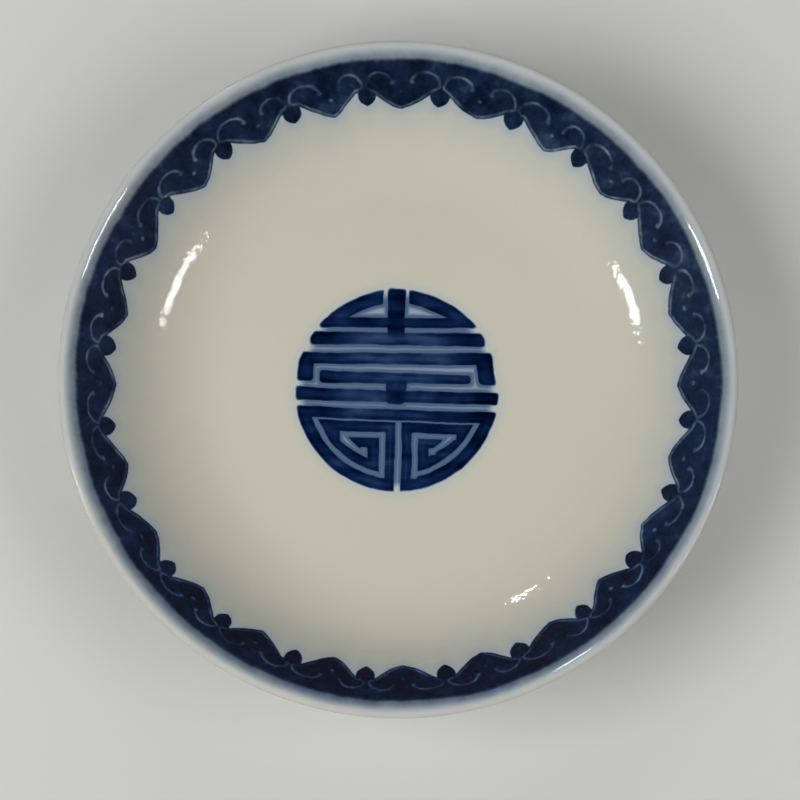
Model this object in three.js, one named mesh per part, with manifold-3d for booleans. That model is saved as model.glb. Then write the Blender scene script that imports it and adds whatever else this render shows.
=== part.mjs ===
// A small porcelain dish painted in cobalt blue under a clear glaze, in millimetres with +Z up.
// It is built in the order in which such a dish is made: the turned porcelain body, the painting
// laid on the body, and the glaze coats over both. The origin is the middle of the foot, on the
// table. The round emblem in the well stands upright with its top towards +Y.

import * as THREE from "three";
import { mergeVertices } from "three/addons/utils/BufferGeometryUtils.js";
import Module from "manifold-3d";

const wasm = await Module();
wasm.setup();

const radians = THREE.MathUtils.degToRad;

// Sizes of the glazed dish
const RIM_RADIUS = 75;
const WELL_DEPTH = 23.3; // from the top of the lip down to the floor of the well
const FLOOR_THICKNESS = 4.2;
const WALL_THICKNESS = 3.2;
const WALL_SLOPE = radians(50);
const CAVETTO_RADIUS = 24; // the hollow curve between floor and wall
const FLARE_RADIUS = 9.5; // the bend that turns the top of the wall outwards
const LIP_SLOPE = radians(33); // where the bend runs into the round edge
const LIP_RADIUS = 1.2;

// Foot ring
const FOOT_RADIUS = 44;
const FOOT_WIDTH = 4;
const FOOT_LEAN = 0.5; // each side of the ring leans outwards by this towards its top
const FOOT_BEVEL = 0.4;
const RECESS_DEPTH = 5; // the hollow inside the foot ring
const GLAZE_LINE = 2; // the foot is bare below this height

// Layers from the body outwards
const SEAT = 0.1; // clearance under and over the painting
const PAINT = 0.1;
const GLAZE = 0.3;

// Border of pointed lappets, with levels measured down the wall from the bend of the lip
const LAPPET_COUNT = 24;
const LAPPET_TIP = 13.2;
const LOBE_LEVEL = 6.2; // where a lappet is widest
const LOBE_DROP = 3.1; // from there up to the round ends of its two lobes
const BORDER_RESERVE = 0.5; // pale line between lappet, neighbour and band
const BUD_TIP = 12.4;
const BUD_LEVEL = 10; // where a bud is widest
const BUD_BASE = 7.8;
const BUD_WIDTH = 3.4;
const POINT_SWELL = 0.8; // below one the sides of a lappet's or bud's point swell, above one they hollow

// Round emblem in the well
const EMBLEM_RADIUS = 22.8;
const EMBLEM_RESERVE = 1.2; // pale line between bars
const BAR_WIDTH = 2.9;
const TOP_BAR_LEVEL = 16.8; // upper edge of the topmost bar, above the middle of the emblem
const STEM_WIDTH = 3.7;
const CROWN_ARC_WIDTH = 3.2;
const LEG_REACH = 18.5; // inner sides of the bracket's legs, from the middle
const SHORT_BAR_REACH = 17;
const KNOT_WIDTH = 4.4;
const FRET_RESERVE = 1;
const FRET_ARC_WIDTH = 2.3;
const FRET_INNER_ARC_WIDTH = 3.3;
const FRET_TOP_WIDTH = 2;
const FRET_POST_WIDTH = 2.3;
const FRET_INNER_POST_WIDTH = 2.7;
const FRET_HOOK_WIDTH = 1.9;
const FRET_HOOK_REACH = 9.9; // free end of the hook, from the middle

// Fineness of the facets
const TURNED_SEGMENTS = 72;
const LAPPET_COLUMNS = 11;
const BUD_COLUMNS = 5;
const LOBE_COLUMNS = 4;
const EMBLEM_SEGMENTS = 72;

// How deep each layer lies under the outer face of the glaze
const PAINT_FACE = GLAZE + SEAT;
const PAINT_BACK = PAINT_FACE + PAINT;
const BODY_FACE = PAINT_BACK + SEAT;

const UP = Math.PI / 2;
const FLOOR_LEVEL = RECESS_DEPTH + FLOOR_THICKNESS;
const HEIGHT = FLOOR_LEVEL + WELL_DEPTH;

const porcelain = new THREE.MeshStandardMaterial({ color: 0xe8e2d6, roughness: 0.7 });
const cobalt = new THREE.MeshStandardMaterial({ color: 0x16295c, roughness: 0.5 });
const clearGlaze = new THREE.MeshStandardMaterial({
  color: 0xeef3f4,
  roughness: 0.1,
  transparent: true,
  opacity: 0.25,
});

const dish = new THREE.Group();
dish.name = "dish";

function add(name, geometry, material) {
  const mesh = new THREE.Mesh(geometry, material);
  mesh.name = name;
  dish.add(mesh);
}

// Section of the dish, as points of radius and height

function polar(centre, radius, angle) {
  return new THREE.Vector2(
    centre.x + radius * Math.cos(angle),
    centre.y + radius * Math.sin(angle),
  );
}

function arc(centre, radius, from, to, steps) {
  const points = [];
  for (let step = 0; step <= steps; step++) {
    points.push(polar(centre, radius, from + ((to - from) * step) / steps));
  }
  return points;
}

// The upper side runs through three tangent arcs: the lip, the flare and the cavetto.
const lip = new THREE.Vector2(RIM_RADIUS - LIP_RADIUS, HEIGHT - LIP_RADIUS);
const flare = polar(lip, LIP_RADIUS - FLARE_RADIUS, UP + LIP_SLOPE);
const throat = polar(flare, FLARE_RADIUS, UP + WALL_SLOPE);
const cavettoLevel = FLOOR_LEVEL + CAVETTO_RADIUS;
const cavettoShift = (cavettoLevel - throat.y) * Math.cos(WALL_SLOPE) - CAVETTO_RADIUS;
const cavetto = new THREE.Vector2(throat.x + cavettoShift / Math.sin(WALL_SLOPE), cavettoLevel);
const wallEnd = polar(cavetto, CAVETTO_RADIUS, WALL_SLOPE - UP);
const wallLength = throat.distanceTo(wallEnd);

// The underside of the wall is the common tangent of the lip and of the curve above the foot.
const haunchRadius = CAVETTO_RADIUS + WALL_THICKNESS;
const lipReach = lip.clone().sub(cavetto);
const tangentTurn = Math.acos((haunchRadius - LIP_RADIUS) / lipReach.length());
const undersideAngle = Math.atan2(lipReach.y, lipReach.x) - tangentTurn;

// From the outermost point of the lip to the middle of the well, at a depth under the glaze face
function upperSide(depth) {
  return [
    ...arc(lip, LIP_RADIUS - depth, 0, UP + LIP_SLOPE, 4),
    ...arc(flare, FLARE_RADIUS - depth, UP + LIP_SLOPE, UP + WALL_SLOPE, 2).slice(1),
    ...arc(cavetto, CAVETTO_RADIUS + depth, WALL_SLOPE - UP, -UP, 5),
    new THREE.Vector2(0, FLOOR_LEVEL - depth),
  ];
}

// From the top of the foot to the outermost point of the lip
function underside(depth) {
  const footTop = FOOT_RADIUS + FOOT_LEAN - depth;
  const start = Math.max(footTop, cavetto.x);
  const startAngle = -Math.acos((start - cavetto.x) / (haunchRadius - depth));
  const curve = arc(cavetto, haunchRadius - depth, startAngle, undersideAngle, 4);
  const shelf = footTop < start ? [new THREE.Vector2(footTop, curve[0].y)] : [];
  return [...shelf, ...curve, ...arc(lip, LIP_RADIUS - depth, undersideAngle, 0, 2)];
}

function footOutside(level, depth) {
  const lean = (FOOT_LEAN * level) / underside(depth)[0].y;
  return new THREE.Vector2(FOOT_RADIUS - depth + lean, level);
}

function footInside(level, depth) {
  const lean = (FOOT_LEAN * level) / (RECESS_DEPTH + depth);
  return new THREE.Vector2(FOOT_RADIUS - FOOT_WIDTH + depth - lean, level);
}

// From the middle of the base to the bare part of the foot
function base(depth, lowest) {
  const level = RECESS_DEPTH + depth;
  return [
    new THREE.Vector2(0, level),
    footInside(level, depth),
    footInside(lowest, depth),
  ];
}

function turned(profile) {
  return new THREE.LatheGeometry(profile, TURNED_SEGMENTS).rotateX(UP);
}

// A coat between two runs of the section, closed on itself or at the axis
function coat(outer, inner) {
  const loop = [...outer, ...inner.reverse()];
  const closed = loop[0].x === 0 || loop[loop.length - 1].x === 0;
  return turned(closed ? loop : [...loop, loop[0]]);
}

// Body

const standing = [
  new THREE.Vector2(FOOT_RADIUS - FOOT_WIDTH + BODY_FACE + FOOT_BEVEL, 0),
  new THREE.Vector2(FOOT_RADIUS - BODY_FACE - FOOT_BEVEL, 0),
];
add(
  "porcelain_body",
  turned([
    ...base(BODY_FACE, FOOT_BEVEL),
    ...standing,
    footOutside(FOOT_BEVEL, BODY_FACE),
    ...underside(BODY_FACE),
    ...upperSide(BODY_FACE).slice(1),
  ]),
  porcelain,
);

// Painted border

// A point of the wall at a level below the bend of the lip
function wallPoint(level, depth) {
  if (level > wallLength) {
    const slope = WALL_SLOPE - (level - wallLength) / CAVETTO_RADIUS;
    return polar(cavetto, CAVETTO_RADIUS + depth, slope - UP);
  }
  const point = throat.clone().lerp(wallEnd, level / wallLength);
  return polar(point, depth, WALL_SLOPE - UP);
}

// A solid skinned over a row of loops of points, capped at both ends unless the row is a ring
function skin(loops, ring) {
  const size = loops[0].length;
  const positions = loops.flat(2);
  const faces = [];
  const joints = ring ? loops.length : loops.length - 1;
  for (let row = 0; row < joints; row++) {
    const next = (row + 1) % loops.length;
    for (let side = 0; side < size; side++) {
      const after = (side + 1) % size;
      const corners = [row * size + side, row * size + after, next * size + after, next * size + side];
      faces.push(corners[0], corners[2], corners[1], corners[0], corners[3], corners[2]);
    }
  }
  if (!ring) {
    const last = (loops.length - 1) * size;
    for (let side = 1; side < size - 1; side++) {
      faces.push(0, side, side + 1);
      faces.push(last, last + side + 1, last + side);
    }
  }
  const geometry = new THREE.BufferGeometry();
  geometry.setAttribute("position", new THREE.Float32BufferAttribute(positions, 3));
  geometry.setIndex(faces);
  return geometry;
}

// A stroke of paint on the wall, given as columns of an angle and the levels it covers there
function wallStroke(columns, ring = false) {
  const loops = columns.map(({ angle, upper, lower }) => {
    const face = [upper, lower].map((level) => wallPoint(level, PAINT_FACE));
    const back = [lower, upper].map((level) => wallPoint(level, PAINT_BACK));
    return [...face, ...back].map(({ x, y }) => [x * Math.cos(angle), x * Math.sin(angle), y]);
  });
  return skin(loops, ring);
}

// Places across a stroke, closer together towards its two sides and never on the very side
function across(halfWidth, count) {
  const places = [];
  for (let column = 0; column < count; column++) {
    places.push(-halfWidth * Math.cos((Math.PI * (column + 0.5)) / count));
  }
  return places;
}

const lobeRing = wallPoint(LOBE_LEVEL, 0).x;
const pitch = (2 * Math.PI) / LAPPET_COUNT;
const lappetHalf = (pitch * lobeRing - BORDER_RESERVE) / 2;
const lobeHalf = lappetHalf / 2;

// Round end of the lobe at a distance from the middle line of the lobe
function lobeEnd(offset) {
  return LOBE_LEVEL - LOBE_DROP * Math.sqrt(Math.max(0, 1 - (offset / lobeHalf) ** 2));
}

function lappet(middle) {
  return wallStroke(
    across(lappetHalf, LAPPET_COLUMNS).map((place) => {
      const share = Math.abs(place) / lappetHalf;
      return {
        angle: middle + place / lobeRing,
        upper: lobeEnd(Math.abs(place) - lobeHalf),
        lower: LOBE_LEVEL + (LAPPET_TIP - LOBE_LEVEL) * (1 - share) ** POINT_SWELL,
      };
    }),
  );
}

function bud(middle) {
  return wallStroke(
    across(BUD_WIDTH / 2, BUD_COLUMNS).map((place) => {
      const share = Math.abs(place) / (BUD_WIDTH / 2);
      return {
        angle: middle + place / lobeRing,
        upper: BUD_LEVEL - (BUD_LEVEL - BUD_BASE) * (1 - share ** 2),
        lower: BUD_LEVEL + (BUD_TIP - BUD_LEVEL) * (1 - share) ** POINT_SWELL,
      };
    }),
  );
}

// The band fills the wall from the bend of the lip down to a scalloped edge behind the lobes.
function band() {
  const columns = [];
  for (let lobe = 0; lobe < 2 * LAPPET_COUNT; lobe++) {
    for (let column = 0; column < LOBE_COLUMNS; column++) {
      const share = (2 * column) / LOBE_COLUMNS - 1;
      columns.push({
        angle: UP + (lobe + column / LOBE_COLUMNS) * (pitch / 2),
        upper: 0,
        lower: lobeEnd(share * lobeHalf) - BORDER_RESERVE,
      });
    }
  }
  return wallStroke(columns, true);
}

add("border_band", band(), cobalt);
for (let place = 0; place < LAPPET_COUNT; place++) {
  const number = String(place + 1).padStart(2, "0");
  const middle = UP - place * pitch;
  add("border_lappet_" + number, lappet(middle), cobalt);
  add("border_bud_" + number, bud(middle - pitch / 2), cobalt);
}

// Round emblem, cut from discs of paint by the pale lines that part its strokes

function toSolid(geometry) {
  const bare = new THREE.BufferGeometry();
  bare.setAttribute("position", geometry.toNonIndexed().getAttribute("position"));
  const merged = mergeVertices(bare, 1e-4);
  return new wasm.Manifold(
    new wasm.Mesh({
      numProp: 3,
      vertProperties: merged.getAttribute("position").array,
      triVerts: new Uint32Array(merged.index.array),
    }),
  );
}

function toGeometry(solid) {
  const mesh = solid.getMesh();
  const geometry = new THREE.BufferGeometry();
  geometry.setAttribute("position", new THREE.BufferAttribute(mesh.vertProperties, 3));
  geometry.setIndex(new THREE.BufferAttribute(mesh.triVerts, 1));
  return geometry;
}

const paintLevel = FLOOR_LEVEL - (PAINT_FACE + PAINT_BACK) / 2;

function disc(radius, thickness) {
  const geometry = new THREE.CylinderGeometry(radius, radius, thickness, EMBLEM_SEGMENTS);
  return toSolid(geometry.rotateX(UP).translate(0, 0, paintLevel));
}

function block(left, right, bottom, top) {
  const geometry = new THREE.BoxGeometry(right - left, top - bottom, 1);
  return toSolid(geometry.translate((left + right) / 2, (bottom + top) / 2, paintLevel));
}

// A block on one side of the upright middle line, and its mirror image
function pair(near, far, bottom, top) {
  return [block(near, far, bottom, top), block(-far, -near, bottom, top)];
}

function cut(solid, cutters) {
  return cutters.reduce((rest, cutter) => rest.subtract(cutter), solid);
}

const paintDisc = disc(EMBLEM_RADIUS, PAINT);

function slice(bottom, top) {
  return paintDisc.intersect(block(-EMBLEM_RADIUS, EMBLEM_RADIUS, bottom, top));
}

// Upper and lower edges of the six bars, counted from the top
const barTop = (bar) => TOP_BAR_LEVEL - bar * (BAR_WIDTH + EMBLEM_RESERVE);
const barBottom = (bar) => barTop(bar) - BAR_WIDTH;

function crown() {
  const stem = STEM_WIDTH / 2;
  const inner = disc(EMBLEM_RADIUS - CROWN_ARC_WIDTH, 1);
  const windows = pair(stem, EMBLEM_RADIUS, barTop(0), EMBLEM_RADIUS);
  return cut(slice(barBottom(1), EMBLEM_RADIUS), [
    ...windows.map((side) => side.intersect(inner)),
    ...pair(stem, stem + EMBLEM_RESERVE, barTop(0), EMBLEM_RADIUS),
    ...pair(stem, EMBLEM_RADIUS, barTop(1), barBottom(0)),
  ]);
}

function bracket() {
  return cut(slice(barBottom(3), barTop(2)), [
    block(-LEG_REACH, LEG_REACH, barBottom(3) - 1, barBottom(2)),
  ]);
}

function waist() {
  return cut(slice(barBottom(4), barTop(3)), [
    ...pair(SHORT_BAR_REACH, EMBLEM_RADIUS, barTop(4), barTop(3) + 1),
    ...pair(KNOT_WIDTH / 2, EMBLEM_RADIUS, barTop(4), barBottom(3)),
  ]);
}

function frets() {
  const fieldTop = barBottom(5) - FRET_RESERVE;
  const topBarBottom = fieldTop - FRET_TOP_WIDTH;
  const hookTop = topBarBottom - FRET_RESERVE;
  const hookBottom = hookTop - FRET_HOOK_WIDTH;
  const post = FRET_RESERVE / 2 + FRET_POST_WIDTH;
  const innerPost = post + FRET_RESERVE;
  const core = innerPost + FRET_INNER_POST_WIDTH;
  const bottom = -EMBLEM_RADIUS;
  const field = disc(EMBLEM_RADIUS - FRET_ARC_WIDTH, 1);
  const inner = disc(EMBLEM_RADIUS - FRET_ARC_WIDTH - FRET_RESERVE, 0.8);
  const heart = disc(EMBLEM_RADIUS - FRET_ARC_WIDTH - FRET_RESERVE - FRET_INNER_ARC_WIDTH, 1);
  const clip = (blocks, round) => blocks.map((side) => side.intersect(round));
  const ring = pair(post, EMBLEM_RADIUS, bottom, fieldTop + FRET_RESERVE);
  return cut(slice(bottom, barTop(5)), [
    block(-EMBLEM_RADIUS, EMBLEM_RADIUS, fieldTop, barBottom(5)).intersect(field),
    ...clip(ring, field.subtract(disc(EMBLEM_RADIUS - FRET_ARC_WIDTH - FRET_RESERVE, 2))),
    ...clip(pair(post, innerPost, bottom, topBarBottom), inner),
    ...clip(pair(post, EMBLEM_RADIUS, hookTop, topBarBottom), heart),
    ...clip(pair(FRET_HOOK_REACH, EMBLEM_RADIUS, bottom, topBarBottom), heart),
    ...clip(pair(core, EMBLEM_RADIUS, bottom, hookBottom), heart),
    block(-FRET_RESERVE / 2, FRET_RESERVE / 2, bottom - 1, barBottom(5)),
  ]);
}

add("emblem_crown", toGeometry(crown()), cobalt);
add("emblem_bracket", toGeometry(bracket()), cobalt);
add("emblem_waist", toGeometry(waist()), cobalt);
add("emblem_frets", toGeometry(frets()), cobalt);

// Glaze coats: the inside with the lip, the outside down to the foot, and the hollow of the foot

add("inside_glaze", coat(upperSide(0), upperSide(GLAZE)), clearGlaze);
add(
  "outside_glaze",
  coat(
    [footOutside(GLAZE_LINE, 0), ...underside(0)],
    [footOutside(GLAZE_LINE, GLAZE), ...underside(GLAZE)],
  ),
  clearGlaze,
);
add("base_glaze", coat(base(0, GLAZE_LINE), base(GLAZE, GLAZE_LINE)), clearGlaze);

export default dish;
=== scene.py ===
"""The looks of a small porcelain dish, painted in cobalt blue under a clear glaze."""

import math

import bpy
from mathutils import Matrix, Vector, noise


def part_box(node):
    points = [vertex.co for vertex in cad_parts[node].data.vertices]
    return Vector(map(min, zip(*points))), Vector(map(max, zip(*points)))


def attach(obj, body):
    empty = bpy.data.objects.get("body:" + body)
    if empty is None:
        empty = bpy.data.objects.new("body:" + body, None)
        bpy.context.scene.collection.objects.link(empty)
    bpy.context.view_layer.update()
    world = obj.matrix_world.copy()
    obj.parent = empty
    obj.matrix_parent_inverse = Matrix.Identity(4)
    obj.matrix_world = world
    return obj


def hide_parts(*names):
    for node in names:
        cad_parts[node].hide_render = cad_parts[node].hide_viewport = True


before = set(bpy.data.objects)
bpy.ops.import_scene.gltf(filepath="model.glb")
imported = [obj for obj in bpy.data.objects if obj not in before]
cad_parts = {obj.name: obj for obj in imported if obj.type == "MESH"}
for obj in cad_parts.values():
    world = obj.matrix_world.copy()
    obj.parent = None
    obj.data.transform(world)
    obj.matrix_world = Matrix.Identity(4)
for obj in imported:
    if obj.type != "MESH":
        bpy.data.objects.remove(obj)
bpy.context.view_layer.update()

MM = 0.001
UP = math.pi / 2  # angle of the upright direction
ORIGIN = (0.0, 0.0)
ON_AXIS = 1e-6  # millimetres from the axis within which a point counts as on it

# Sizes of the glazed dish, in millimetres as in the model
RIM_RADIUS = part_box("inside_glaze")[1].x / MM
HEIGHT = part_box("inside_glaze")[1].z / MM
WELL_DEPTH = 23.3
WALL_THICKNESS = 3.2
WALL_SLOPE = math.radians(50)
CAVETTO_RADIUS = 24.0
FLARE_RADIUS = 9.5
LIP_SLOPE = math.radians(33)
LIP_RADIUS = 1.2
FOOT_RADIUS = 44.0
FOOT_WIDTH = 4.0
FOOT_LEAN = 0.5
FOOT_ROUNDING = 0.7
RECESS_DEPTH = 5.0
RECESS_ROUNDING = 1.6
GLAZE_LINE = 2.0  # height at which the glaze ends on both sides of the foot ring
GLAZE_DEPTH = 0.55  # how far the back of a coat of glaze lies behind its face
BODY_FACE = 0.6  # how far the body lies behind the face of the glaze

# Waves of a rim made by hand: how many go around, their turn, and their size
OVAL_WAVES = [(2, 0.7, 0.0012), (3, 0.0, 0.0006)]  # outwards, as a share of the radius
LIFT_WAVES = [(2, 1.9, 0.12), (5, 0.0, 0.06)]  # upwards
LIFT_POWER = 3  # how fast the waves upwards die away below the rim
DENT_HEIGHT = 0.05
DENT_SCALE = 0.06  # about how many there are in a millimetre

# Steps in which the section and its turn are drawn
TURN_STEPS = 360
LIP_STEPS = 14
FLARE_STEPS = 6
WALL_STEPS = 12
CAVETTO_STEPS = 24
WELL_STEPS = 20
LIP_UNDERSIDE_STEPS = 6
FOOT_STEPS = 8
BASE_STEPS = 16
RECESS_TURN_STEPS = 8
RECESS_SIDE_STEPS = 6
STANDING_STEPS = 6
BEAD_STEPS = 8

# Unwrapped sheet of a piece: the side that shows fills it, and the hidden side lies in its corner
FRONT_REACH = 0.495
FRONT_MIDDLE = 0.5
BACK_REACH = 0.08
BACK_MIDDLE = 0.085

# Painted border, with levels measured down the wall from the bend of the lip
LAPPET_COUNT = 24
LAPPET_LUCK = 0.25  # which set of random values the lappets and buds get
LAPPET_TURN = -1.5  # degrees from the emblem's upright line
LAPPET_DRIFT = 1.35  # degrees by which the spacing strays to either side
LAPPET_DRIFT_TOWARDS = 20.0
LAPPET_LEAN = 2.2  # how far the points stray sideways, from one extreme to the other
LAPPET_RISE = 0.9  # how far they stray up and down
LAPPET_RISE_LEVELS = (3.0, 7.0)  # levels over which that sets in
LAPPET_TIP = 13.3
LAPPET_REACH = 1.0  # how much further down they lie on one side of the dish
LAPPET_REACH_TOWARDS = 15.0
LAPPET_REACH_LEVELS = (3.0, 8.0)
TIP_SLOPE = 1.3  # slope of a lappet's edge away from its point
TIP_ROUNDING = 4.2
TIP_ROUNDING_STRAY = 2.0
TIP_NIB = 0.2  # small point in which the rounded end runs out
TIP_NIB_REACH = 1.2
LOBE_MIDDLE = 5.15
LOBE_LEVEL = 6.5
LOBE_RADIUS = 3.8
LOBE_END = 1.8  # radius of a lobe's outer end
LOBE_END_LEVEL = 5.9
LOBE_ROUNDING = 1.2
HOOK_LEVEL = 5.8  # where the line of a lobe ends, in a dot
HOOK_SHIFT = 0.2  # how far that dot lies inside the line
OUTLINE_WIDTH = 0.3  # dark edge outside the pale line
LINE_WIDTH = 0.75
BUD_LEVEL = 9.0
BUD_BEND = 1.5
BUD_RADIUS = 3.65
BUD_RADIUS_STRAY = 0.4
BUD_STRAY = 0.9
BUD_JOIN = 0.35  # rounding where a bud meets the lappets
DOT_LEVEL = 8.4
DOT_RADIUS = 0.55

# Upper edge of the border, which is neither level nor quite round, and whose tilt and oval also paint
# light and shade on the lip
BAND_EDGE = (-1.0, 0.7)
BAND_EDGE_SHARE = 0.47
BAND_BLEED = (-5.2, -0.5)  # levels over which the rest of the blue runs out on the lip
BAND_TILT = 0.23
BAND_TILT_TOWARDS = 83.0
BAND_OVAL = 0.36
BAND_OVAL_TOWARDS = 135.0

# Tones of the border, where 1 is the fullest blue and a pair tells from where to where a tone sets in
BORDER_BLUE = 0.87
PAINT_EDGE = (0.25, -0.25)
LINE_EDGE = (0.85, 0.05)  # as shares of the line's width
DOT_EDGE = (1.5, 0.4)  # as shares of the dot's radius
LIT_SIDE_TOWARDS = 15.0  # painted light: direction of the side on which the blue is drawn paler, as where light falls on the glaze
LIT_SIDE_LOSS = 0.06
SHEEN_FLANKS_GAIN = 0.03  # painted sheen: more blue at the far and near side, less at the left and right, where the glaze shines
POINT_GAIN = 0.03
POINT_LEVELS = (3.0, 8.0)
OWN_TONE = 0.15  # how far the points of the lappets stray from each other in tone
OWN_TONE_LEVELS = (6.0, 10.0)
THIN_LOSS = 0.14  # less blue along the edge of a lappet's point
THIN_EDGE = (-0.45, 0.0)
THIN_LEVELS = (6.5, 8.5)
THIN_FROM_BUD = (0.0, 0.4)
LINE_LOSS = 0.235
LIT_SIDE_LINE_GAIN = 0.03
NEAR_HALO = 0.1  # faint blue in the glaze round the painting
NEAR_HALO_EDGE = (3.5, 0.0)
FAR_HALO = 0.05
FAR_HALO_EDGE = (14.0, 2.0)
HALO_LIP = (0.0, 0.3)  # shares of the band's blue over which the halo ends on the lip
GREY = 0.35  # how much of the colour is the greyer blue of the edge
LIT_SIDE_GREY = 0.35
GREY_LEVELS = (17.0, 12.0)
LIP_GREY = 0.6
LIP_GREY_LEVELS = (2.0, -1.0)
LINE_GREY = 0.5

# Uneven washes of the border: size in millimetres, detail and strength
WASH = (5.0, 3.0, 0.5)
FINE_WASH = (1.2, 2.0, 0.2)
LINE_WASH = (4.0, 2.0, 0.7)
GREY_WASH = (9.0, 2.0, 0.8)

# Round emblem in the well, with its own middle as the origin
EMBLEM_RADIUS = 22.8
EMBLEM_CENTRE = (-0.27, -0.45)
# Each stroke: its two ends, then from where to where it reaches across at the first end and at the last
BARS = [
    (-17.7, 17.5, (13.8, 16.1), (14.3, 16.6)),
    (-19.7, 19.5, (10.0, 12.8), (10.1, 13.1)),
    (-22.6, 21.2, (5.6, 8.1), (6.0, 8.7)),
    (-17.5, 16.7, (1.3, 4.1), (1.6, 3.7)),
    (-22.8, 23.1, (-2.65, 0.2), (-3.0, -0.4)),
    (-22.7, 22.6, (-6.5, -4.0), (-7.3, -4.8)),
]
LEGS = [
    (1.6, 7.6, (-22.4, -19.0), (-22.2, -18.6)),
    (1.4, 8.6, (18.6, 22.2), (17.3, 20.9)),
]
STEM = (11.8, 22.8, (-2.5, 1.5), (-2.4, 1.6))
KNOT = (-3.3, 2.7, (-2.5, 2.2), (-2.5, 2.2))
CROWN_RADIUS = 21.15
CROWN_WIDTH = 3.0
CROWN_FOOT = 14.6
CROWN_GAP = (-3.5, 2.4)
FRET_MIDDLE = 0.55
FRET_TOP = -5.5
FRET_TILT = 0.012
FRET_LID = (-18.9, 18.8, (-7.0, -6.3), (-7.6, -6.75))
FRET_LINES = [
    (3.0, 13.1, (-10.9, -9.6), (-10.8, -9.6)),
    (6.9, 8.5, (-14.4, -13.0), (-14.4, -13.0)),
]
FRET_POST = (-19.9, -9.6, (3.05, 4.4), (3.05, 4.4))
FRET_CLEFT = (-25.0, -6.7, (-0.95, 0.75), (-0.65, 0.75))
FRET_RADIUS = 19.5
FRET_RING_TOP = -6.3
FRET_LINE_WIDTH = 1.15
WEDGE_RADIUS = 16.05
WEDGE_ENDS = (6.9, 13.1)
WEDGE_HALF_WIDTH = 0.6
WEDGE_SWELL = 0.4  # how much wider its outer end is, to either side
WEDGE_SWELL_REACH = (8.5, 12.5)

# Roundings of the corners of the emblem's strokes
STROKE_ROUNDING = 1.5
RIM_ROUNDING = 0.8
STEM_ROUNDING = 1.6
KNOT_ROUNDING = 2.2
FRET_LINE_ROUNDING = 0.5
FRET_ROUNDING = 0.4

# Tones of the emblem, told as those of the border
EMBLEM_BLUE = 0.82
EMBLEM_EDGE = (0.45, -0.2)
CROSSING_GAIN = 0.12
CROSSING_EDGE = (0.7, -1.4)
SIDES_GAIN = 0.07
SIDES_REACH = (11.0, 21.0)
BRUSHED_LOSS = 0.1  # less blue in the middles of the bars
BRUSHED_REACH = (16.0, 6.0)
BRUSHED_LEVEL = 4.0
BRUSHED_HEIGHT = (10.5, 7.5)
OUTLINE_GAIN = 0.06
OUTLINE_EDGE = (-1.3, -0.3)
GAP_BLUE = 0.26  # tint of the gaps between the strokes
GAP_EDGE_BLUE = 0.26
GAP_EDGE = (1.3, 0.3)
GAP_RIM = (0.3, -2.5)
EMBLEM_HALO = 0.08
EMBLEM_HALO_EDGE = (2.8, 0.0)

# Brush marks of the emblem: how places are squeezed, then size, detail and strength
STREAK_SQUEEZE = (0.14, 0.9, 1.0)
STREAKS = (2.0, 3.0, 0.45)
EMBLEM_WASH = (7.0, 2.0, 0.4)

# How a painted outline strays: size in millimetres and reach
SLOW_HAND = (11.0, 0.9)
QUICK_HAND = (2.5, 0.3)

# Glaze and bare clay, with unevenness as size in millimetres, detail and strength
GLAZE_IOR = 1.25
GLAZE_ROUGHNESS = 0.07
GLAZE_ROUGHNESS_CLOUD = (6.0, 2.0, 0.05)
PITTED_ROUGHNESS = 0.2
PITTED_BLUE = (0.3, 0.8)
SWELL = (8.0, 1.0, 0.16)
RIPPLE = (1.3, 1.0, 0.055)
RIPPLE_FROM_RIM = (1.0, 8.0)
PAINTED_CLOUD = (22.0, 2.0, 0.03)
PAINTED_FINE_CLOUD = (3.0, 2.0, 0.008)
PLAIN_TONE = 0.5
PLAIN_CLOUD = (18.0, 2.0, 0.7)
TURNING_RINGS = (1.2, 2.0, 0.3)
POOL_SHARE = 0.4
POOL_HEIGHTS = (8.5, 4.0)
POOL_CLOUD = (9.0, 2.0, 2.0)
GRIT = (0.5, 3.0, 1.0)
GRIT_TONE = 0.5
GRIT_ROUGHNESS = 0.2
GRIT_HEIGHT = 0.12
BARE_TONE = 0.3  # tone of the clay where the glaze ends
BARE_TONE_GAIN = 0.5
BARE_TONE_REACH = (0.0, 0.8)
BARE_ROUGHNESS = 0.75

# Floor, lamps and camera
FLOOR_SIZE = 6.0
FLOOR_TONE = 0.5
FLOOR_CLOUD = (40.0, 2.0, 0.2)
FLOOR_ROUGHNESS = 0.9
ROOM_LIGHT = (0.02, 0.02, 0.02, 1.0)
# Each lamp: its name, azimuth and elevation in degrees, width and height in metres, power and shape
PANELS = [
    ("left_panel", 253.0, 50.0, 1.0, 1.0, 15.6, "RECTANGLE"),
    ("right_panel", 108.0, 50.0, 1.0, 1.0, 8.3, "RECTANGLE"),
    ("front_panel", 180.0, 30.0, 1.0, 1.0, 3.8, "RECTANGLE"),
    ("back_panel", 0.0, 30.0, 1.0, 1.0, 5.0, "RECTANGLE"),
]
PANEL_DISTANCE = 1.6
STRIPS = [
    ("right_strip", 108.0, 32.4, 0.34, 0.17, 9.0, "RECTANGLE"),
    ("left_strip", 255.0, 27.6, 0.3, 0.23, 9.2, "ELLIPSE"),
    ("back_strip", 331.0, 26.4, 0.1, 0.07, 2.4, "RECTANGLE"),
]
STRIP_DISTANCE = 1.2
CAMERA_AIM = Vector((0.5, -3.86, 20.0)) * MM
CAMERA_DISTANCE = 1.0
CAMERA_AZIMUTH = 178.8
CAMERA_ELEVATION = 83.98
CAMERA_LENS = 202.1
CAMERA_SENSOR = 36.0


def srgb(red, green, blue):
    """A colour given by its screen values, as a linear colour."""
    shares = [value / 255 for value in (red, green, blue)]
    linear = [s / 12.92 if s <= 0.04045 else ((s + 0.055) / 1.055) ** 2.4 for s in shares]
    return (*linear, 1.0)


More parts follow.
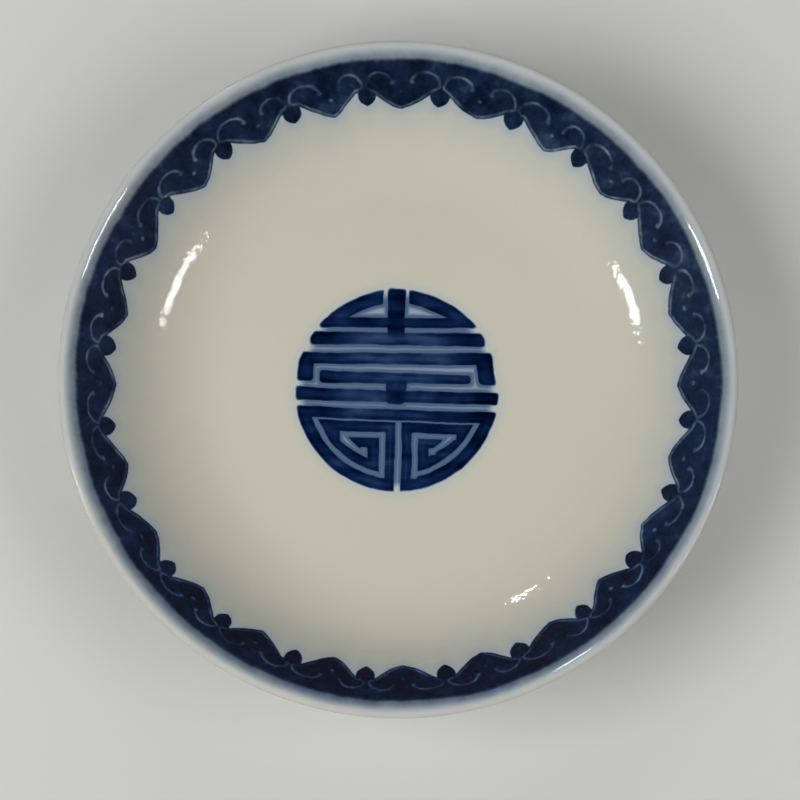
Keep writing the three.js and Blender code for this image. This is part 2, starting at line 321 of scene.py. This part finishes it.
# Colours by density of the blue, by tone of the glaze or clay, and by tone of the floor
PAINT_COLOURS = [
    (0.00, srgb(210, 206, 190)),
    (0.06, srgb(198, 201, 191)),
    (0.12, srgb(188, 194, 191)),
    (0.20, srgb(170, 182, 191)),
    (0.32, srgb(138, 156, 175)),
    (0.48, srgb(90, 113, 142)),
    (0.65, srgb(46, 69, 107)),
    (0.80, srgb(17, 39, 79)),
    (0.92, srgb(3, 22, 54)),
    (1.00, srgb(0, 9, 36)),
]
EDGE_COLOURS = [
    (0.00, srgb(194, 198, 195)),
    (0.17, srgb(178, 186, 192)),
    (0.32, srgb(151, 161, 168)),
    (0.48, srgb(118, 131, 142)),
    (0.65, srgb(60, 78, 100)),
    (0.80, srgb(22, 38, 62)),
    (0.92, srgb(6, 20, 42)),
    (1.00, srgb(0, 8, 28)),
]
GLAZE_COLOURS = [
    (0.00, srgb(198, 198, 189)),
    (0.50, srgb(204, 203, 191)),
    (1.00, srgb(208, 206, 193)),
]
POOLED_GLAZE = srgb(184, 194, 190)
BISCUIT_COLOURS = [
    (0.00, srgb(150, 128, 100)),
    (0.35, srgb(196, 184, 164)),
    (0.60, srgb(214, 206, 190)),
    (1.00, srgb(226, 220, 206)),
]
FLOOR_COLOURS = [
    (0.00, srgb(214, 214, 212)),
    (1.00, srgb(222, 222, 220)),
]


# Section of the dish, as points of radius and height


def polar(centre, radius, angle):
    return Vector((centre[0] + radius * math.cos(angle), centre[1] + radius * math.sin(angle)))


def arc(centre, radius, start, end, steps):
    return [polar(centre, radius, start + (end - start) * step / steps) for step in range(steps + 1)]


def straight(start, end, steps):
    return [start.lerp(end, step / steps) for step in range(steps + 1)]


floor_level = HEIGHT - WELL_DEPTH
lip = Vector((RIM_RADIUS - LIP_RADIUS, HEIGHT - LIP_RADIUS))
flare = polar(lip, LIP_RADIUS - FLARE_RADIUS, UP + LIP_SLOPE)
throat = polar(flare, FLARE_RADIUS, UP + WALL_SLOPE)
cavetto_level = floor_level + CAVETTO_RADIUS
cavetto_shift = (cavetto_level - throat.y) * math.cos(WALL_SLOPE) - CAVETTO_RADIUS
cavetto = Vector((throat.x + cavetto_shift / math.sin(WALL_SLOPE), cavetto_level))
haunch_radius = CAVETTO_RADIUS + WALL_THICKNESS
lip_reach = lip - cavetto
underside_angle = math.atan2(lip_reach.y, lip_reach.x) - math.acos(
    (haunch_radius - LIP_RADIUS) / lip_reach.length
)


def upper_side(depth):
    """From the outermost point of the lip to the middle of the well."""
    edge = arc(lip, LIP_RADIUS - depth, 0, UP + LIP_SLOPE, LIP_STEPS)
    bend = arc(flare, FLARE_RADIUS - depth, UP + LIP_SLOPE, UP + WALL_SLOPE, FLARE_STEPS)
    hollow = arc(cavetto, CAVETTO_RADIUS + depth, WALL_SLOPE - UP, -UP, CAVETTO_STEPS)
    wall = straight(bend[-1], hollow[0], WALL_STEPS)
    floor = straight(hollow[-1], Vector((0.0, floor_level - depth)), WELL_STEPS)
    return edge + bend[1:] + wall[1:-1] + hollow + floor[1:]


def underside(depth):
    """From the top of the foot to the outermost point of the lip."""
    start = -math.acos((FOOT_RADIUS + FOOT_LEAN - depth - cavetto.x) / (haunch_radius - depth))
    haunch = arc(cavetto, haunch_radius - depth, start, underside_angle, CAVETTO_STEPS)
    edge = arc(lip, LIP_RADIUS - depth, underside_angle, 0, LIP_UNDERSIDE_STEPS)
    wall = straight(haunch[-1], edge[0], WALL_STEPS)
    return haunch + wall[1:-1] + edge


def foot_outside(depth, lowest):
    """From the lowest point outside the foot ring to the top of the foot."""
    top = underside(depth)[0]
    foot = Vector((FOOT_RADIUS - depth, 0.0))
    return straight(foot.lerp(top, lowest / top.y), top, FOOT_STEPS)


def foot_inside(depth, lowest):
    """From the middle of the base to the lowest point inside the foot ring."""
    level = RECESS_DEPTH + depth
    foot = Vector((FOOT_RADIUS - FOOT_WIDTH + depth, 0.0))
    corner = Vector((foot.x - FOOT_LEAN, level))
    rounding = RECESS_ROUNDING + depth
    turn = arc((corner.x - rounding, level - rounding), rounding, UP, 0.0, RECESS_TURN_STEPS)
    side = straight(turn[-1], corner.lerp(foot, 1 - lowest / level), RECESS_SIDE_STEPS)
    return straight(Vector((0.0, level)), turn[0], BASE_STEPS) + turn[1:] + side[1:]


def standing_edge():
    """The rounded bottom of the foot ring, from its inside to its outside."""
    inside = (FOOT_RADIUS - FOOT_WIDTH + BODY_FACE + FOOT_ROUNDING, FOOT_ROUNDING)
    outside = (FOOT_RADIUS - BODY_FACE - FOOT_ROUNDING, FOOT_ROUNDING)
    inner_edge = arc(inside, FOOT_ROUNDING, 2 * UP, 3 * UP, STANDING_STEPS)
    return inner_edge + arc(outside, FOOT_ROUNDING, -UP, 0.0, STANDING_STEPS)


def bead(start, end):
    """The rounded edge in which a coat of glaze ends, from its face to its back."""
    middle = (start + end) / 2
    half = (end - start) / 2
    down = Vector((0.0, -half.length))
    angles = [math.pi * step / BEAD_STEPS for step in range(1, BEAD_STEPS)]
    return [middle - half * math.cos(angle) + down * math.sin(angle) for angle in angles]


# Arithmetic with shader nodes


def feed(value, socket):
    """Links a field to a socket, or sets the socket to a plain value."""
    if isinstance(value, Field):
        socket.id_data.links.new(value.output, socket)
    else:
        socket.default_value = value


class Field:
    """A number or vector that varies over a surface: the output of a shader node."""

    def __init__(self, output):
        self.output = output

    def add_node(self, kind, *values, **settings):
        """A new node of the same material, with its inputs fed in their order."""
        node = self.output.id_data.nodes.new(kind)
        for name, setting in settings.items():
            setattr(node, name, setting)
        for socket, value in zip(node.inputs, values):
            feed(value, socket)
        return node

    def math(self, operation, *others):
        return Field(self.add_node("ShaderNodeMath", self, *others, operation=operation).outputs[0])

    def vector(self, operation, *others):
        return Field(self.add_node("ShaderNodeVectorMath", self, *others, operation=operation).outputs[0])

    def __add__(self, other):
        return self.math("ADD", other)

    def __sub__(self, other):
        return self.math("SUBTRACT", other)

    def __rsub__(self, other):
        return self.math("MULTIPLY_ADD", -1.0, other)

    def __mul__(self, other):
        return self.math("MULTIPLY", other)

    def __neg__(self):
        return self * -1.0

    def __abs__(self):
        return self.math("ABSOLUTE")

    def least(self, other, rounding=0.0):
        return self.math("SMOOTH_MIN", other, rounding) if rounding else self.math("MINIMUM", other)

    def most(self, other, rounding=0.0):
        return self.math("SMOOTH_MAX", other, rounding) if rounding else self.math("MAXIMUM", other)

    def fade(self, start, end):
        """0 up to start and 1 from end on, with a smooth change between them."""
        node = self.add_node(
            "ShaderNodeMapRange", self, start, end, 0.0, 1.0, interpolation_type="SMOOTHSTEP"
        )
        return Field(node.outputs[0])

    def mix(self, other, share):
        """The colour, led towards another by a share."""
        node = self.add_node("ShaderNodeMix", share, data_type="RGBA")
        # A mix node keeps its colours behind its numbers and vectors
        feed(self, node.inputs[6])
        feed(other, node.inputs[7])
        return Field(node.outputs[2])

    def split(self):
        node = self.add_node("ShaderNodeSeparateXYZ", self)
        return [Field(output) for output in node.outputs]

    def scaled(self, x, y, z):
        return self.vector("MULTIPLY", (x, y, z))

    def distance(self, point):
        node = self.add_node("ShaderNodeVectorMath", self, (*point, 0.0), operation="DISTANCE")
        return Field(node.outputs["Value"])

    def noise_node(self, size, detail):
        node = self.add_node("ShaderNodeTexNoise")
        feed(self, node.inputs["Vector"])
        node.inputs["Scale"].default_value = 1 / size
        node.inputs["Detail"].default_value = detail
        return node

    def noise(self, size, detail, strength):
        """Noise about zero, mostly within half the strength, with features of about that size."""
        return (Field(self.noise_node(size, detail).outputs["Fac"]) - 0.5) * strength

    def wobbled(self, size, reach):
        """The same place, led astray by up to about half the reach."""
        colour = Field(self.noise_node(size, 2.0).outputs["Color"])
        centred = colour.vector("SUBTRACT", (0.5, 0.5, 0.5))
        return self.vector("ADD", centred.scaled(reach, reach, reach))

    def ramp(self, stops):
        """Colours that follow the number, given as pairs of a number and a colour."""
        node = self.add_node("ShaderNodeValToRGB", self)
        elements = node.color_ramp.elements
        while len(elements) < len(stops):
            elements.new(1.0)
        for element, (position, colour) in zip(elements, stops):
            element.position = position
            element.color = colour
        return Field(node.outputs["Color"])


def plane(x, y):
    """A point of a drawing, from its two coordinates."""
    return Field(x.add_node("ShaderNodeCombineXYZ", x, y).outputs[0])


def towards(angle, direction, crests=1.0):
    """A wave around the dish, with a crest of 1 in the direction given in degrees, and troughs of -1."""
    return ((angle - math.radians(direction)) * crests).math("COSINE")


def stroke(along, across, ends, rounding=STROKE_ROUNDING):
    """How far a place lies outside a painted stroke, or inside it when negative."""
    first, last, start, end = ends
    share = (along - first) * (1 / (last - first))
    middle = share * ((sum(end) - sum(start)) / 2) + sum(start) / 2
    half_width = share * ((end[1] - end[0] - start[1] + start[0]) / 2) + (start[1] - start[0]) / 2
    beside = abs(across - middle) - half_width
    past = abs(along - (first + last) / 2) - (last - first) / 2
    return beside.most(past, rounding)


def luck(number):
    """Two random values from minus a half to a half, for the lappet or bud of that number."""
    node = number.add_node("ShaderNodeTexWhiteNoise", noise_dimensions="1D")
    feed(number.math("FLOORED_MODULO", float(LAPPET_COUNT)) + LAPPET_LUCK, node.inputs["W"])
    first, second = Field(node.outputs["Color"]).split()[:2]
    return first - 0.5, second - 0.5


# Painting


def border(x, y):
    """Density of the blue of the border, and how much of its colour is that of its outer edge."""
    around = plane(x, y)
    depth = (throat.x - around.distance(ORIGIN)) * (1 / math.cos(WALL_SLOPE))
    angle = x.math("ARCTAN2", y)

    # Place in the lappet, sideways from its middle and down the wall
    drift = towards(angle, LAPPET_DRIFT_TOWARDS) * math.radians(LAPPET_DRIFT)
    turn = 2 * math.pi / LAPPET_COUNT
    pitch = turn * (throat.x - LOBE_LEVEL * math.cos(WALL_SLOPE))
    cell = (angle - drift - math.radians(LAPPET_TURN)) * (1 / turn)
    number = cell.math("ROUND")
    sideways, upwards = luck(number)
    true_place = (cell - number) * pitch
    middle = abs(true_place).fade(pitch / 2, 0.0)
    place = true_place + middle * sideways * LAPPET_LEAN
    side = abs(place)
    further = towards(angle, LAPPET_REACH_TOWARDS) * LAPPET_REACH
    down = depth - further * depth.fade(*LAPPET_REACH_LEVELS)
    level = down + middle * upwards * depth.fade(*LAPPET_RISE_LEVELS) * LAPPET_RISE
    folded = plane(side, level)

    # Distances from the outlines of the lappets, the buds and the band, negative inside
    roundness = upwards * TIP_ROUNDING_STRAY + TIP_ROUNDING
    spread = (place * place + roundness * roundness).math("SQRT")
    slope = place.math("DIVIDE", spread) * TIP_SLOPE
    drop = (spread - roundness) * TIP_SLOPE - side.fade(TIP_NIB_REACH, 0.0) * TIP_NIB
    tongue = (level + drop - LAPPET_TIP) * (slope * slope + 1.0).math("INVERSE_SQRT")
    lobe_end = (LOBE_MIDDLE + LOBE_RADIUS - LOBE_END, LOBE_END_LEVEL)
    lappet = tongue.least(folded.distance(lobe_end) - LOBE_END, LOBE_ROUNDING)
    gap = cell.math("FLOOR")
    stray, size = luck(gap)
    from_bud = abs((cell - gap - 0.5) * pitch + stray * BUD_STRAY)
    below = (down - BUD_LEVEL).most(0.0)
    bud = plane(from_bud, below).distance((-BUD_BEND, 0.0)) - BUD_RADIUS - size * BUD_RADIUS_STRAY
    band = level - LOBE_LEVEL
    blue = lappet.least(bud, BUD_JOIN).least(band)

    # Pale lines along the lappets and round their lobes, and pale dots
    line_depth = OUTLINE_WIDTH + LINE_WIDTH / 2
    lobe = folded.distance((LOBE_MIDDLE, LOBE_LEVEL)) - LOBE_RADIUS
    hook_end = (level - HOOK_LEVEL).least(LOBE_MIDDLE - side)
    lobe_line = abs(lobe + line_depth).most(level - LOBE_LEVEL).most(hook_end)
    point_line = abs(lappet + line_depth).most(LOBE_LEVEL - level)
    line = lobe_line.least(point_line).fade(LINE_EDGE[0] * LINE_WIDTH, LINE_EDGE[1] * LINE_WIDTH)
    hook_dot = folded.distance((LOBE_MIDDLE - LOBE_RADIUS + line_depth + HOOK_SHIFT, HOOK_LEVEL))
    from_dot = plane(place, level).distance((0.0, DOT_LEVEL)).least(hook_dot)
    dot = from_dot.fade(DOT_EDGE[0] * DOT_RADIUS, DOT_EDGE[1] * DOT_RADIUS)

    # Tones
    # Painted light: towards the lit side the border is paler, its pale lines fainter and its blue greyer
    lit_side = towards(angle, LIT_SIDE_TOWARDS)
    # Partly painted light and shade: the tilt and oval leave the lip paler on some sides and bluer on
    # others
    tilt = towards(angle, BAND_TILT_TOWARDS) * BAND_TILT
    oval = towards(angle, BAND_OVAL_TOWARDS, 2.0) * BAND_OVAL
    rise = depth + tilt + oval
    outer = rise.fade(*BAND_EDGE) * BAND_EDGE_SHARE + rise.fade(*BAND_BLEED) * (1 - BAND_EDGE_SHARE)
    wash = around.noise(*WASH) + around.noise(*FINE_WASH)
    own = middle * level.fade(*OWN_TONE_LEVELS) * sideways * OWN_TONE
    points = level.fade(*POINT_LEVELS) * POINT_GAIN
    # Painted sheen: less blue at the left and right of the border
    sheen_flanks = towards(angle, 0.0, 2.0) * SHEEN_FLANKS_GAIN
    dark = points + BORDER_BLUE - lit_side * LIT_SIDE_LOSS + sheen_flanks + own + wash
    thin = lappet.fade(*THIN_EDGE) * level.fade(*THIN_LEVELS) * bud.fade(*THIN_FROM_BUD) * THIN_LOSS
    scratched = around.noise(*LINE_WASH) - lit_side * LIT_SIDE_LINE_GAIN + LINE_LOSS
    density = (dark - thin - line.most(dot) * scratched) * blue.fade(*PAINT_EDGE) * outer
    halo = blue.fade(*NEAR_HALO_EDGE) * NEAR_HALO + blue.fade(*FAR_HALO_EDGE) * FAR_HALO
    greyed = around.noise(*GREY_WASH) + lit_side * LIT_SIDE_GREY + GREY
    edge = depth.fade(*LIP_GREY_LEVELS) * LIP_GREY + depth.fade(*GREY_LEVELS) * greyed + line * LINE_GREY
    return density.most(halo * outer.fade(*HALO_LIP)), edge


def emblem(x, y):
    """Density of the blue of the emblem."""
    x = x - EMBLEM_CENTRE[0]
    y = y - EMBLEM_CENTRE[1]
    around = plane(x, y)
    radius = around.distance(ORIGIN)
    disc = radius - EMBLEM_RADIUS

    # Distances from the outlines of crown, bars and legs, negative inside
    arch = (abs(radius - CROWN_RADIUS) - CROWN_WIDTH / 2).most(CROWN_FOOT - y)
    cleft = abs(x - sum(CROWN_GAP) / 2) - (CROWN_GAP[1] - CROWN_GAP[0]) / 2
    strokes = arch.most(-cleft, RIM_ROUNDING)
    for bar in BARS:
        strokes = strokes.least(stroke(x, y, bar).most(disc, RIM_ROUNDING))
    for leg in LEGS:
        strokes = strokes.least(stroke(y, x, leg).most(disc, RIM_ROUNDING))
    crossing = stroke(y, x, STEM, STEM_ROUNDING).least(stroke(y, x, KNOT, KNOT_ROUNDING))
    strokes = strokes.least(crossing)

    # Pale lines of the frets, the same on both sides of the cleft
    from_cleft = x - FRET_MIDDLE
    side = abs(from_cleft)
    level = y + x * FRET_TILT
    line = stroke(x, y, FRET_LID, FRET_LINE_ROUNDING)
    for ends in FRET_LINES:
        line = line.least(stroke(side, level, ends, FRET_LINE_ROUNDING))
    line = line.least(stroke(level, side, FRET_POST, FRET_LINE_ROUNDING))
    ring = abs(radius - FRET_RADIUS) - FRET_LINE_WIDTH / 2
    line = line.least(ring.most(level - FRET_RING_TOP).most(FRET_POST[2][0] - side))
    wedge_width = side.fade(*WEDGE_SWELL_REACH) * WEDGE_SWELL + WEDGE_HALF_WIDTH
    wedge = (abs(radius - WEDGE_RADIUS) - wedge_width).most(level - FRET_POST[1])
    wedge = wedge.most(WEDGE_ENDS[0] - side).most(side - WEDGE_ENDS[1])
    line = line.least(wedge, FRET_ROUNDING).least(stroke(y, from_cleft, FRET_CLEFT))
    frets = disc.most(y - FRET_TOP).most(-line, FRET_ROUNDING)
    strokes = strokes.least(frets)

    # Tones
    brush = around.scaled(*STREAK_SQUEEZE).noise(*STREAKS) + around.noise(*EMBLEM_WASH)
    pooled = crossing.fade(*CROSSING_EDGE) * CROSSING_GAIN + abs(x).fade(*SIDES_REACH) * SIDES_GAIN
    brushed = abs(x).fade(*BRUSHED_REACH) * abs(y - BRUSHED_LEVEL).fade(*BRUSHED_HEIGHT) * BRUSHED_LOSS
    outline = strokes.fade(*OUTLINE_EDGE) * OUTLINE_GAIN
    dark = pooled + outline - brushed + EMBLEM_BLUE + brush
    between = disc.fade(*GAP_RIM) * (strokes.fade(*GAP_EDGE) * GAP_EDGE_BLUE + GAP_BLUE)
    halo = strokes.fade(*EMBLEM_HALO_EDGE) * EMBLEM_HALO
    return (dark * strokes.fade(*EMBLEM_EDGE)).most(between).most(halo)


# Materials


def new_material(name):
    """A material with one glossy shader, and the place on the surface in millimetres."""
    material = bpy.data.materials.new(name)
    material.use_nodes = True
    nodes = material.node_tree.nodes
    coordinates = nodes.new("ShaderNodeTexCoord")
    place = Field(coordinates.outputs["Object"]).scaled(1 / MM, 1 / MM, 1 / MM)
    return material, nodes["Principled BSDF"], place


def set_bump(shader, height):
    """Raises the surface by a height in millimetres."""
    bump = height.add_node("ShaderNodeBump")
    bump.inputs["Strength"].default_value = 1.0
    bump.inputs["Distance"].default_value = MM
    feed(height, bump.inputs["Height"])
    feed(Field(bump.outputs[0]), shader.inputs["Normal"])


def set_glaze(shader, place, pitting=0.0):
    """The gloss of the glaze, with its faint unevenness and the roughness of any pitted part."""
    shader.inputs["IOR"].default_value = GLAZE_IOR
    roughness = place.noise(*GLAZE_ROUGHNESS_CLOUD) + GLAZE_ROUGHNESS + pitting
    feed(roughness, shader.inputs["Roughness"])
    radius = place.scaled(1.0, 1.0, 0.0).distance(ORIGIN)
    within = radius.fade(RIM_RADIUS - RIPPLE_FROM_RIM[0], RIM_RADIUS - RIPPLE_FROM_RIM[1])
    set_bump(shader, place.noise(*SWELL) + within * place.noise(*RIPPLE))


def painted_glaze():
    material, shader, place = new_material("painted_glaze")
    drawn = place.scaled(1.0, 1.0, 0.0).wobbled(*SLOW_HAND).wobbled(*QUICK_HAND)
    x, y = drawn.split()[:2]
    blue, edge = border(x, y)
    cloud = place.noise(*PAINTED_CLOUD) + place.noise(*PAINTED_FINE_CLOUD)
    density = (blue.most(emblem(x, y)) + cloud).most(0.0)
    colour = density.ramp(PAINT_COLOURS).mix(density.ramp(EDGE_COLOURS), edge)
    feed(colour, shader.inputs["Base Color"])
    set_glaze(shader, place, blue.fade(*PITTED_BLUE) * PITTED_ROUGHNESS)
    return material


def plain_glaze():
    material, shader, place = new_material("plain_glaze")
    x, y, z = place.split()
    rings = plane(plane(x, y).distance(ORIGIN), z).noise(*TURNING_RINGS)
    tone = place.noise(*PLAIN_CLOUD) + rings + PLAIN_TONE
    pooled = (place.noise(*POOL_CLOUD) + z).fade(*POOL_HEIGHTS) * POOL_SHARE
    feed(tone.ramp(GLAZE_COLOURS).mix(POOLED_GLAZE, pooled), shader.inputs["Base Color"])
    set_glaze(shader, place)
    return material


def biscuit():
    """The bare clay of the foot ring, which is browner where the glaze ends."""
    material, shader, place = new_material("biscuit")
    grit = place.noise(*GRIT)
    from_glaze = abs(place.split()[2] - GLAZE_LINE)
    tone = from_glaze.fade(*BARE_TONE_REACH) * BARE_TONE_GAIN + BARE_TONE + grit * GRIT_TONE
    feed(tone.ramp(BISCUIT_COLOURS), shader.inputs["Base Color"])
    feed(grit * GRIT_ROUGHNESS + BARE_ROUGHNESS, shader.inputs["Roughness"])
    set_bump(shader, grit * GRIT_HEIGHT)
    return material


# Pieces


def waves(angle, table):
    """The sum of the waves of a table, at an angle around the dish."""
    return sum(size * math.cos(count * angle + turn) for count, turn, size in table)


def by_hand(point):
    """Moves a point of the true shape by the faint unevenness of a dish made by hand."""
    angle = math.atan2(point.x, point.y)
    share = point.z / HEIGHT
    swell = 1 + share * waves(angle, OVAL_WAVES)
    lift = share**LIFT_POWER * waves(angle, LIFT_WAVES)
    rise = DENT_HEIGHT * share * noise.noise(point * DENT_SCALE)
    return Vector((point.x * swell, point.y * swell, point.z + lift + rise))


def chart(run, reach, middle):
    """Places on the unwrapped sheet for a run of the section: a disc or a ring with a true width."""
    lengths = [0.0]
    for before, after in zip(run, run[1:]):
        lengths.append(lengths[-1] + (after - before).length)
    widest = max(run[0].x, run[-1].x)
    radii = [
        reach * (run[0].x + (run[-1].x - run[0].x) * length / lengths[-1]) / widest for length in lengths
    ]

    def place(row, step):
        angle = 2 * math.pi * step / TURN_STEPS
        return (middle + radii[row] * math.sin(angle), middle + radii[row] * math.cos(angle))

    return place


def around_axis(profile):
    """The points of a turned section, and for each of its rings the numbers of the ring's points."""
    points = []
    rings = []
    for spot in profile:
        if spot.x < ON_AXIS:
            rings.append([len(points)] * TURN_STEPS)
            points.append(Vector((0.0, 0.0, spot.y)))
            continue
        rings.append(range(len(points), len(points) + TURN_STEPS))
        for step in range(TURN_STEPS):
            angle = 2 * math.pi * step / TURN_STEPS
            points.append(Vector((spot.x * math.sin(angle), spot.x * math.cos(angle), spot.y)))
    return points, rings


def turned(name, front, back, material, nodes):
    """A closed turned piece. The front is a run of the section that shows, the back closes it."""
    points, rings = around_axis(front + back)
    hidden = [front[-1], *back]
    if front[0].x > ON_AXIS:
        hidden.append(front[0])
    sheets = [
        (front, 0, FRONT_REACH, FRONT_MIDDLE),
        (hidden, len(front) - 1, BACK_REACH, BACK_MIDDLE),
    ]
    faces = []
    spots = []
    for run, first, reach, middle in sheets:
        place = chart(run, reach, middle)
        for row in range(len(run) - 1):
            here = rings[first + row]
            there = rings[(first + row + 1) % len(rings)]
            for step in range(TURN_STEPS):
                turn = (step + 1) % TURN_STEPS
                corners = {
                    here[step]: place(row, step),
                    here[turn]: place(row, step + 1),
                    there[turn]: place(row + 1, step + 1),
                    there[step]: place(row + 1, step),
                }
                if len(corners) > 2:
                    faces.append(list(corners))
                    spots.extend(corners.values())
    mesh = bpy.data.meshes.new(name)
    mesh.from_pydata([by_hand(point) * MM for point in points], [], faces)
    mesh.polygons.foreach_set("use_smooth", [True] * len(faces))
    mesh.uv_layers.new(name="OFBake").data.foreach_set("uv", [value for spot in spots for value in spot])
    mesh.materials.append(material)
    piece = bpy.data.objects.new(name, mesh)
    bpy.context.scene.collection.objects.link(piece)
    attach(piece, "root")
    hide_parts(*nodes)


painting = [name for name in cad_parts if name.startswith(("border_", "emblem_"))]
blue_and_white = painted_glaze()
plain = plain_glaze()
bare = biscuit()

inside_front = upper_side(0.0)
inside_back = upper_side(GLAZE_DEPTH)[::-1]
inside_nodes = ["inside_glaze", *painting]
turned("glazed_inside", inside_front, inside_back, blue_and_white, inside_nodes)

outside_front = underside(0.0)[::-1] + foot_outside(0.0, GLAZE_LINE)[-2::-1]
outside_back = foot_outside(GLAZE_DEPTH, GLAZE_LINE) + underside(GLAZE_DEPTH)[1:]
outside_back = bead(outside_front[-1], outside_back[0]) + outside_back
turned("glazed_outside", outside_front, outside_back, plain, ["outside_glaze"])

base_front = foot_inside(0.0, GLAZE_LINE)
base_back = foot_inside(GLAZE_DEPTH, GLAZE_LINE)[::-1]
base_back = bead(base_front[-1], base_back[0]) + base_back
turned("glazed_base", base_front, base_back, plain, ["base_glaze"])

body_bottom = foot_inside(BODY_FACE, FOOT_ROUNDING)[:-1] + standing_edge()
body_side = foot_outside(BODY_FACE, FOOT_ROUNDING)[1:] + underside(BODY_FACE)[1:]
body_top = upper_side(BODY_FACE)[1:]
turned("bare_body", body_bottom + body_side, body_top, bare, ["porcelain_body"])


# Stage, light and camera


def pale_floor():
    bpy.ops.mesh.primitive_plane_add(size=FLOOR_SIZE)
    floor = bpy.context.object
    floor.name = "pale_floor"
    material, shader, place = new_material("pale_paper")
    tone = place.noise(*FLOOR_CLOUD) + FLOOR_TONE
    feed(tone.ramp(FLOOR_COLOURS), shader.inputs["Base Color"])
    shader.inputs["Roughness"].default_value = FLOOR_ROUGHNESS
    floor.data.materials.append(material)


def put_facing(aim, data, azimuth, elevation, distance):
    """Puts a lamp or camera so that it faces a point, with its azimuth clockwise from the far side."""
    holder = bpy.data.objects.new(data.name, data)
    bpy.context.scene.collection.objects.link(holder)
    turn = math.radians(azimuth)
    rise = math.radians(elevation)
    away = Vector((math.sin(turn) * math.cos(rise), math.cos(turn) * math.cos(rise), math.sin(rise)))
    holder.location = aim + away * distance
    holder.rotation_euler = away.to_track_quat("Z", "Y").to_euler()
    return holder


def lamp(distance, name, azimuth, elevation, width, height, power, shape):
    light = bpy.data.lights.new(name, "AREA")
    light.shape = shape
    light.size = width
    light.size_y = height
    light.energy = power
    return put_facing(Vector(), light, azimuth, elevation, distance)


def studio():
    """Soft panels that leave no reflection, and small strips that give only reflections."""
    pale_floor()
    for panel in PANELS:
        lamp(PANEL_DISTANCE, *panel).visible_glossy = False
    for strip in STRIPS:
        lamp(STRIP_DISTANCE, *strip).visible_diffuse = False
    world = bpy.data.worlds.new("soft_room")
    world.use_nodes = True
    world.node_tree.nodes["Background"].inputs["Color"].default_value = ROOM_LIGHT
    bpy.context.scene.world = world


def camera():
    data = bpy.data.cameras.new("photo_view")
    data.lens = CAMERA_LENS
    data.sensor_width = CAMERA_SENSOR
    holder = put_facing(CAMERA_AIM, data, CAMERA_AZIMUTH, CAMERA_ELEVATION, CAMERA_DISTANCE)
    bpy.context.scene.camera = holder


studio()
camera()
bpy.context.scene.view_settings.view_transform = "Standard"
